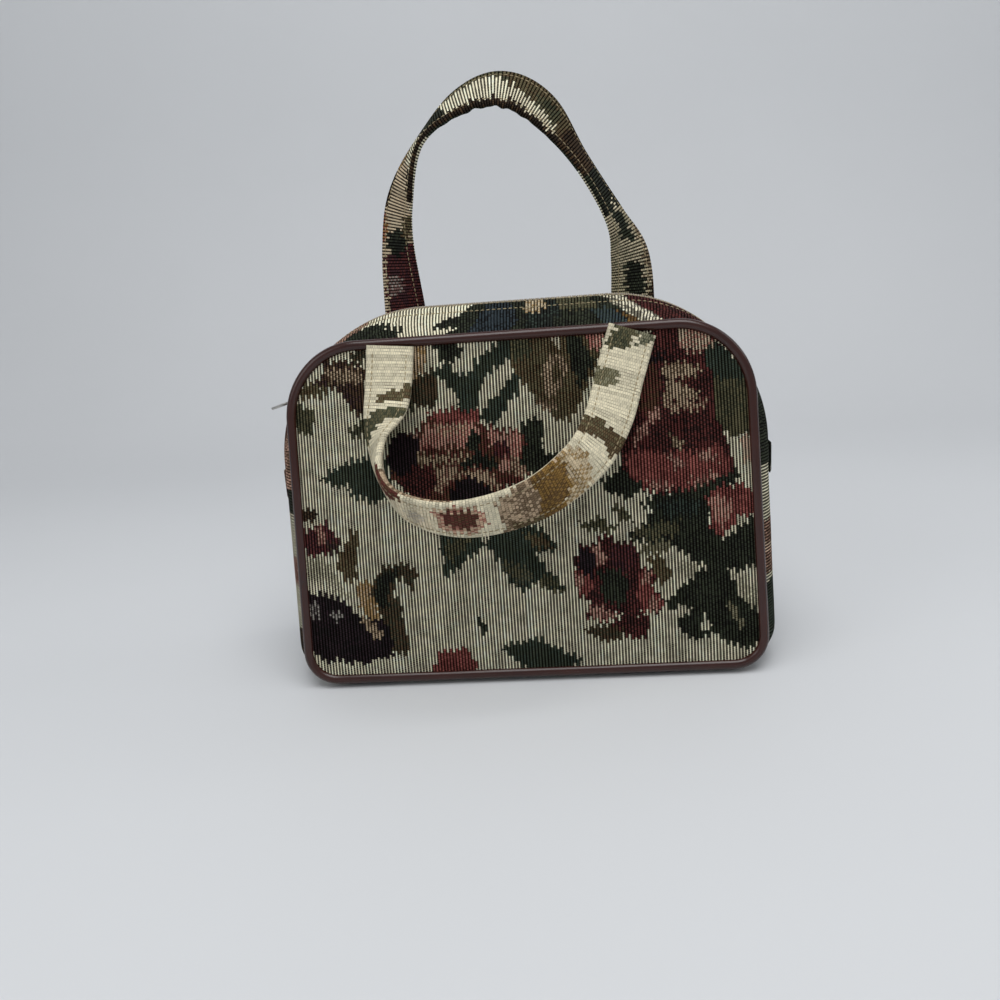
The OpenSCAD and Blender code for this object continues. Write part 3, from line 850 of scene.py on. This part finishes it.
def strap_lines(points, angle, up):
    """Length so far, centre, width and outward directions along a strap. up is 1 for a loop that stands."""
    gone = gone_along(points)
    along = unit(np.gradient(points, axis=0))
    side = unit(np.stack([-up * along[:, 2], 0 * gone, up * along[:, 0]], -1))
    bend = np.radians(angle)[:, None]
    face = np.array([0, -1, 0]) * np.cos(bend) + side * np.sin(bend)
    wide = unit(np.cross(along, face))
    return gone, points, wide, unit(np.cross(wide, along))


at = np.linspace(0, 1, 801)
route = route_at(front_route, at)
z = seam_top - piping_r + 1.5 - front_drop * route[:, 1]
y = -(half_depth(z) + cloth_t / 2 + 0.2 + strap_t / 2) - front_bow * np.maximum(route[:, 1], 0) ** 1.6
front_strap = strap_lines(np.stack([strap_span * route[:, 0], y, z], -1), route[:, 2], -1)
route = route_at(rear_route, at)
y = half_depth(seam_top) + cloth_t / 2 + strap_t / 2 - rear_bow * route[:, 1] ** 2
z = seam_top + piping_r - 2 + (rear_rise + 2) * route[:, 1]
rear_strap = strap_lines(np.stack([strap_span * route[:, 0], y, z], -1), route[:, 2], 1)


def round_ended(v, flat, r):
    """Along and out of a flat shape with round ends, at a share of the way round it."""
    turn = pi * r
    at = v * 2 * (flat + turn)
    first = np.clip(at / flat, 0, 1) * flat
    a1 = np.clip((at - flat) / turn, 0, 1) * pi
    second = np.clip((at - flat - turn) / flat, 0, 1) * flat
    a2 = np.clip((at - 2 * flat - turn) / turn, 0, 1) * pi
    there = at <= flat + turn
    along = np.where(there, first + r * np.sin(a1), flat - second - r * np.sin(a2)) - flat / 2
    return along, np.where(there, r * np.cos(a1), -r * np.cos(a2))


def crown_at(p):
    return strap_crown * (1 - (p / (strap_w / 2)) ** 2)


def strap_section(v):
    """Across and out of a strap, which is fuller in the middle and drawn in along its two seams."""
    r = strap_t / 2
    p, q = round_ended(v, strap_w - strap_t, r)
    sewn = -hem_deep * np.exp(-((np.abs(p) - hem) / hem_wide) ** 2)
    return p, q + np.sign(q) * np.minimum(np.abs(q) / r, 1) * (crown_at(p) + sewn)


def strap_at(lines, u, p, q):
    gone, *parts = lines
    at = u * gone[-1]
    centre, w, n = (np.stack([np.interp(at, gone, part[:, k]) for k in range(3)], -1) for part in parts)
    return centre + w * p[:, None] + n * q[:, None]


def close_up(fill):
    """Joins the edges of a folded cloth, closes its ends if asked and turns the faces outward."""
    edit_all()
    bpy.ops.mesh.remove_doubles(threshold=0.02 * mm)
    if fill:
        bpy.ops.mesh.fill_holes(sides=0)
        bpy.ops.mesh.select_all(action="SELECT")
    bpy.ops.mesh.normals_make_consistent(inside=False)
    bpy.ops.object.mode_set(mode="OBJECT")
    bpy.ops.object.shade_smooth_by_angle(angle=radians(60))


def handle(name, node, lines, colours, spread, crumple):
    """crumple is how far the front edge ripples at the top of the loop, where the hand has creased it."""
    length = lines[0][-1]
    def place(u, v):
        p, q = strap_section(v)
        to_front = np.clip(0.5 + p / strap_w, 0, 1) ** 2
        turn = u * length / ripple_step
        wave = 0.6 * np.sin(turn) + 0.4 * np.sin(1.7 * turn + 1)
        ripple = crumple * wave * np.exp(-((u - 0.5) / ripple_reach) ** 2)
        return strap_at(lines, u, p, q + ripple * to_front)
    piece, cells = woven_grid(name, round(length / rib), strap_cells, place)
    p, q = strap_section(cells[:, 1])
    drawn_s = np.where(q > 0, p, far_face - p)
    set_yarn(piece, woven_colours(colours, (cells[:, 0] - 0.5) * length, drawn_s), spread)
    close_up(fill=True)
    fit(piece, node, tapestry)


# Fields of colour on the straps, in mm along from the middle of the loop and across.
front_strap_cloth = fields("""
ivory ivory 0 -130,-14 -130,60 130,60 130,-14
olive brown 0.35 -91,6.5 -95,1 -96.5,-6 -102,-12 -93,-12 -91.5,-5 -90,2
green olive 0.35 -80,12 -86,4 -88,-3 -89,-12 -84,-12 -82,-4 -77,2 -73,7 -73,12
burgundy brown 0.4 -58,-12 -52,-3 -44,-1 -36,-6 -34,-12
tan pink 0.4 -60,2 -50,9 -42,12 -46,2 -54,-3
sand ivory 0.5 -42,-2 -34,9 -20,8 -18,-7 -34,-9
grey sand 0.5 -34,0 -30,7 -24,4 -26,-4
tan rose 0.5 -21,-7 -17,6 -6,8 3,3 -1,-6 -10,-9
burgundy brown 0.5 -18,-5 -14,3 -5,4 -1,0 -4,-5 -11,-7
sand ochre 0.4 38,-12 40,0 34,12 48,9 55,-2 50,-12
brown tan 0.45 8,-8 9,3 5,12 32,12 41,2 43,-12 20,-12
ochre brown 0.45 24,-12 26,0 22,10 32,12 41,2 43,-12
tan brown 0.4 6,-6 8,4 12,7 15,2 13,-9
olive brown 0.45 12,7 12,12 26,12 22,8
brown olive 0.35 60,-12 64,-2 60,8 64,12 70,12 70,2 73,-4 70,-12
olive sage 0.4 88,-12 90,-1 98,1 96,-12
olive green 0.4 106,-10 108,0 118,3 118,-8
sage green 0.4 110,4 114,10 118,10 117,3
tan brown 0.3 -60,20 -20,20 -10,60 -50,60
""")
# The first field of the rear strap, sand and tan over its left leg, is painted shade where that leg faces
# away from the light.
rear_strap_cloth = fields("""
sand tan 0.45 -140,-13 -140,13 -58,13 -50,-13
black brown 0.3 -70,8.5 -60,6.5 0,8 60,6 90,8 90,13 -70,13
burgundy plum 0.5 -140,-8 -140,13 -92,13 -96,4 -99,-8
plum burgundy 0.35 -126,-6 -124,4 -108,6 -104,-4
burgundy grey 0.3 -119,-7 -117,2 -110,3 -108,-6
grey plum 0.45 -140,-13 -140,13 -132,13 -131,4 -134,-13
black green 0.4 -100,2 -95,-7 -88,-5 -86,6 -92,10
rose ochre 0.4 -93,-12 -92,-6 -80,-7 -79,-12
black brown 0.35 -79,-12 -78,-8 -62,-7 -60,-12
ochre brown 0.45 -60,-12 -58,-4 -48,-5 -46,-12
olive brown 0.4 -92,6 -90,12 -78,12 -80,7
green black 0.4 -44,-12 -42,4 -34,8 -24,8 -26,-4 -28,-12
olive green 0.45 -26,-12 -22,-6 0,-7 8,-2 12,-12
olive brown 0.4 4,-12 8,-2 20,2 34,3 44,12 48,-12
green olive 0.4 20,-4 22,2 34,4 36,-6
cream sand 0.3 12,4 14,8 38,9 36,4
brown black 0.4 42,-12 40,13 66,13 66,-12
black green 0.4 62,-12 62,13 90,13 86,2 90,-12
cream sand 0.3 78,-3 80,1 86,0 84,-4
sage sand 0.5 84,-13 84,13 140,13 140,-13
green black 0.3 86,-4 84,6 98,4 102,-4
brown sand 0.35 92,-12 94,-7 122,-7 124,-12
black green 0.4 112,-6 110,4 140,4 140,-6
black brown 0.4 120,-12 122,-8 140,-8 140,-12
green teal 0.3 -40,26 -20,60 40,60 60,26
""")
handle("handle_front_strap", "handle_front", front_strap, front_strap_cloth,
       spread=-0.1, crumple=0)
# The rear strap's ribs stand wider apart, so more dark gap shows: partly its finer ribbing, partly painted
# shade on the standing loop.
handle("handle_rear_strap", "handle_rear", rear_strap, rear_strap_cloth,
       spread=0.75, crumple=0.9)

# End tabs: a scrap of the tapestry folded double and sewn over each end of the zip, where the zipped top
# meets the lower gusset.
tab_w = 30
tab_picks = 30
left_tab_cloth = fields("""
brown pink 0.45 -20,-20 -20,60 20,60 20,-20
burgundy plum 0.4 -20,-20 -20,7 20,5 20,-20
""")
right_tab_cloth = fields("""
green black 0.4 -20,-20 -20,60 20,60 20,-20
grey green 0.45 -20,3 -4,6 0,2 -8,0
""")


def end_tab(name, node, side, colours):
    low, high = np.array(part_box(node)) / mm
    mid_x, mid_z = (low[0] + high[0]) / 2, (low[2] + high[2]) / 2
    r = (high[0] - low[0]) / 2
    def place(u, v):
        up, out = round_ended(v, high[2] - low[2] - 2 * r, r)
        pinch = np.sqrt(1 - np.minimum(np.abs(2 * u - 1), 1) ** 8)
        return np.stack([mid_x + side * (out * pinch), (u - 0.5) * (high[1] - low[1]), mid_z + up], -1)
    piece, cells = woven_grid(name, round(tab_w / rib), tab_picks, place)
    set_yarn(piece, woven_colours(colours, (cells[:, 0] - 0.5) * tab_w, cells[:, 1] * tab_picks))
    close_up(fill=False)
    fit(piece, node, tapestry)


end_tab("end_tab_left_cloth", "end_tab_left", -1, left_tab_cloth)
end_tab("end_tab_right_cloth", "end_tab_right", 1, right_tab_cloth)

# Zip teeth: a nylon monofilament wound into a row of small loops and sewn along each edge of the tape.
# One loop is shaped, repeated along the zip and bent round its arch.
coil_low, coil_high = np.array(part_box("zip_coil_rear")) / mm
coil_r = (coil_high[1] - coil_low[1]) / 2
coil_y = (coil_high[1] + coil_low[1]) / 2
coil_drop = zip_top - coil_high[2] + coil_r
tooth_pitch = 1.1
wire_share = 0.32


def row_along(name, shape, pitch, path):
    """Repeats a small shape, made along X at the origin, at even steps along a path of points in mm."""
    points = np.asarray(path) * mm
    line = poly_line(name + "_line", points)
    line.data.twist_mode = "Z_UP"
    select_only(shape)
    shape.name = name
    copies = shape.modifiers.new("Array", "ARRAY")
    copies.count = int(gone_along(points)[-1] / (pitch * mm))
    copies.use_relative_offset = False
    copies.use_constant_offset = True
    copies.constant_offset_displace = (pitch * mm, 0, 0)
    follow = shape.modifiers.new("Curve", "CURVE")
    follow.object = line
    follow.deform_axis = "POS_X"
    bpy.ops.object.modifier_apply(modifier="Array")
    bpy.ops.object.modifier_apply(modifier="Curve")
    bpy.data.objects.remove(line)
    bpy.ops.object.shade_smooth()
    return shape


def tooth_loop():
    bpy.ops.object.select_all(action="DESELECT")
    bpy.ops.mesh.primitive_torus_add(
        major_segments=10, minor_segments=4, major_radius=(1 - wire_share) * coil_r * mm,
        minor_radius=wire_share * coil_r * mm, rotation=(0, radians(90), 0))
    loop = bpy.context.object
    bpy.ops.object.transform_apply(location=True, rotation=True, scale=True)
    edit_all()
    bpy.ops.transform.resize(value=(1.25, 1, 1))
    bpy.ops.transform.translate(value=(0.5 * tooth_pitch * mm, 0, 0))
    bpy.ops.object.mode_set(mode="OBJECT")
    return loop


# Nylon coil: smooth, slightly clear beige monofilament, with a soft shine on each loop.
nylon, tree, shader = new_material("beige_nylon_coil")
two_tone(tree, shader, noise(tree, 300.0, 3.0), "#7e7466", "#a89d8b", 0.3, 0.5)
shader.inputs["IOR"].default_value = 1.53
coil_line = np.stack([ridge_path[:, 0] - ridge_path[:, 2] * coil_drop, 0 * ridge_path[:, 0],
                      ridge_path[:, 1] - ridge_path[:, 3] * coil_drop], -1)
for name, node, side in (("zip_teeth_front", "zip_coil_front", -1), ("zip_teeth_rear", "zip_coil_rear", 1)):
    teeth = row_along(name, tooth_loop(), tooth_pitch, coil_line + [0, side * coil_y, 0])
    fit(teeth, node, nylon)

# Meshed teeth: past the slider's travel the two rows stay locked together, so the heads of the loops fill
# the slot between them. Along the travel the slot stays clear for the slider's post.
meshed_from_x = -42
head_size = (0.23 * tooth_pitch, coil_y - 0.5 * coil_r, 0.7 * coil_r)


def bead(segments, size, shift):
    """A round grain with the given half sizes, moved along X, all in mm."""
    bpy.ops.object.select_all(action="DESELECT")
    bpy.ops.mesh.primitive_uv_sphere_add(segments=segments, ring_count=5, radius=1 * mm)
    grain = bpy.context.object
    edit_all()
    bpy.ops.transform.resize(value=size)
    bpy.ops.transform.translate(value=(shift * mm, 0, 0))
    bpy.ops.object.mode_set(mode="OBJECT")
    return grain


meshed_line = coil_line[np.argmax(ridge_path[:, 3]):].copy()
meshed_line[0, 0] = meshed_from_x
heads = row_along("zip_teeth_meshed", bead(8, head_size, 0.25 * tooth_pitch), tooth_pitch / 2, meshed_line)
fit(heads, None, nylon)

# Zip tape: woven polyester twill that carries the teeth and is sewn under the folded edges. Its fine
# slanted ribs are drawn at 0.8 mm, coarser than the real 0.4 mm, so that they show.
twill_step = 0.8
tape_cloth, tree, shader = new_material("beige_polyester_tape")
where = add_node(tree, "ShaderNodeTexCoord")
twill = add_node(tree, "ShaderNodeTexWave", {
    "Vector": where.outputs["Object"], "Scale": 2 * pi / (20 * twill_step * mm), "Distortion": 0.5},
    bands_direction="DIAGONAL").outputs["Fac"]
two_tone(tree, shader, twill, "#6f675a", "#9b917f", 0.85, 0.7)
emboss(tree, shader, twill, 0.15, 0.5)


def finish_node(name, material):
    node = bpy.data.objects[name]
    node.data.materials.clear()
    node.data.materials.append(material)


for name in ("zip_tape_front", "zip_tape_rear"):
    finish_node(name, tape_cloth)

# Stitching: sand-brown sewing thread in short straight stitches, which sink a little into the cloth. Two
# rows hold each zip strip down, and a row runs along both edges of each strap, on both faces.
stitch_len = 2.6
thread_r = 0.28
thread_lift = 0.12
stitch_size = (0.4 * stitch_len, thread_r, thread_r)

# Sewing thread: spun polyester, sand brown, dull, with a fine slanted ply.
thread_finish, tree, shader = new_material("sand_sewing_thread")
two_tone(tree, shader, noise(tree, 900.0, 2.0), "#75664a", "#b0a17c", 0.55, 0.8)


def sew(name, paths):
    """Makes a row of stitches along each path and joins the rows into one piece."""
    rows = [row_along(f"{name}{k}", bead(6, stitch_size, 0.5 * stitch_len), stitch_len, path)
            for k, path in enumerate(paths)]
    select_only(rows[0])
    for row in rows:
        row.select_set(True)
    bpy.ops.object.join()
    rows[0].name = name
    fit(rows[0], None, thread_finish)


def strip_row(in_from_edge, side):
    u = np.linspace(0.01, 0.99, 400)
    seam, _ = pair_at(u)
    outer = half_depth(seam[:, 1]) - 0.5 * piping_r
    up = (zip_half + in_from_edge - outer) / (zip_half + fold / 2 - outer)
    return strip_at(u, fold_share * up, lift=thread_lift) * [1, side, 1]


def strap_row(lines, across, face):
    u = np.linspace(0.015, 0.985, 300)
    q = strap_t / 2 + crown_at(across) - hem_deep + thread_lift
    return strap_at(lines, u, across + 0 * u, face * q + 0 * u)


for name, side in (("strip_front_stitches", 1), ("strip_rear_stitches", -1)):
    sew(name, [strip_row(edge_stitch, side), strip_row(hold_stitch, side)])
for name, lines in (("handle_front_stitches", front_strap), ("handle_rear_stitches", rear_strap)):
    sew(name, [strap_row(lines, across, face) for face in (1, -1) for across in (hem, -hem)])

# Slider and pull: die-cast zinc, plated with nickel. The slider runs on the teeth, and the pull swings on
# its pin. The edges are rounded by tumbling, so a copy of each gets small bevels.
zinc, tree, shader = new_material("nickel_plated_zinc")
two_tone(tree, shader, noise(tree, 260.0, 5.0), "#8f8d88", "#c9c8c4", 0.22, 0.42)
shader.inputs["Metallic"].default_value = 1.0

for name, node, body in (("zip_slider_cast", "zip_slider", "slider"), ("zip_pull_cast", "zip_pull", "pull")):
    cast = bpy.data.objects.new(name, bpy.data.objects[node].data.copy())
    bpy.context.collection.objects.link(cast)
    select_only(cast)
    edit_all()
    bpy.ops.mesh.remove_doubles(threshold=0.002 * mm)
    bpy.ops.mesh.dissolve_limited(angle_limit=radians(1))
    bpy.ops.object.mode_set(mode="OBJECT")
    softened = cast.modifiers.new("Bevel", "BEVEL")
    softened.width = 0.14 * mm
    softened.segments = 2
    softened.limit_method = "ANGLE"
    softened.angle_limit = radians(40)
    bpy.ops.object.modifier_apply(modifier="Bevel")
    bpy.ops.object.shade_smooth_by_angle(angle=radians(35))
    fit(cast, node, zinc, body)

# Lining: plain-woven brown polyester inside the panels and the gusset, out of sight while the bag is shut.
# The weave is drawn at 1 mm, coarser than the real 0.3 mm, so that it shows.
lining_cloth, tree, shader = new_material("brown_lining_polyester")
where = add_node(tree, "ShaderNodeTexCoord")
weave = add_node(tree, "ShaderNodeTexChecker", {
    "Vector": where.outputs["Object"], "Scale": 1000.0, "Color1": rgba("#4c3a34"), "Color2": rgba("#574640")})
tree.links.new(weave.outputs["Color"], shader.inputs["Base Color"])
tree.links.new(mapped(tree, weave.outputs["Fac"], 0.5, 0.62), shader.inputs["Roughness"])
emboss(tree, shader, weave.outputs["Fac"], 0.1, 0.3)
for name in ("lining_front", "lining_back", "lining_gusset"):
    finish_node(name, lining_cloth)

# Floor and light: one pale sheet that curves up behind the bag, with three soft lamps and an even sky.
# Lengths here are in metres.
floor_half = 3
floor_near = -1.6
floor_long = 4.0
bend_at = 0.5
bend_r = 0.4
bpy.ops.object.select_all(action="DESELECT")
bpy.ops.mesh.primitive_grid_add(x_subdivisions=2, y_subdivisions=60, size=2)
floor = bpy.context.object
floor.name = "floor"
points = np.empty(len(floor.data.vertices) * 3)
floor.data.vertices.foreach_get("co", points)
points = points.reshape(-1, 3)
run = (points[:, 1] + 1) / 2 * floor_long + floor_near
angle = np.clip((run - bend_at) / bend_r, 0, pi / 2)
rise = np.maximum(run - bend_at - bend_r * pi / 2, 0)
floor.data.vertices.foreach_set("co", np.stack([
    points[:, 0] * floor_half, np.minimum(run, bend_at) + bend_r * np.sin(angle),
    bend_r * (1 - np.cos(angle)) + rise], -1).ravel())
bpy.ops.object.shade_smooth()
paper, tree, shader = new_material("pale_paper")
two_tone(tree, shader, noise(tree, 3.0, 2.0), "#d0d2d4", "#d6d8da", 0.8, 0.8)
floor.data.materials.append(paper)

lamp_aim = Vector((0, 0, 0.1))
for name, place, size, power in (
        ("lamp_above", (0.1, -0.5, 1.3), 1.0, 12),
        ("lamp_left", (-1.0, -0.9, 0.8), 0.8, 3),
        ("lamp_right", (0.9, 0.1, 0.7), 0.5, 0.9)):
    lamp = bpy.data.lights.new(name, "AREA")
    lamp.size = size
    lamp.energy = power
    held = bpy.data.objects.new(name, lamp)
    held.location = place
    held.rotation_euler = (lamp_aim - Vector(place)).to_track_quat("-Z", "Y").to_euler()
    bpy.context.collection.objects.link(held)
sky = bpy.data.worlds.new("even_sky")
sky.use_nodes = True
sky.node_tree.nodes["Background"].inputs["Color"].default_value = rgba("#f0f3f8")
sky.node_tree.nodes["Background"].inputs["Strength"].default_value = 0.43
scene.world = sky
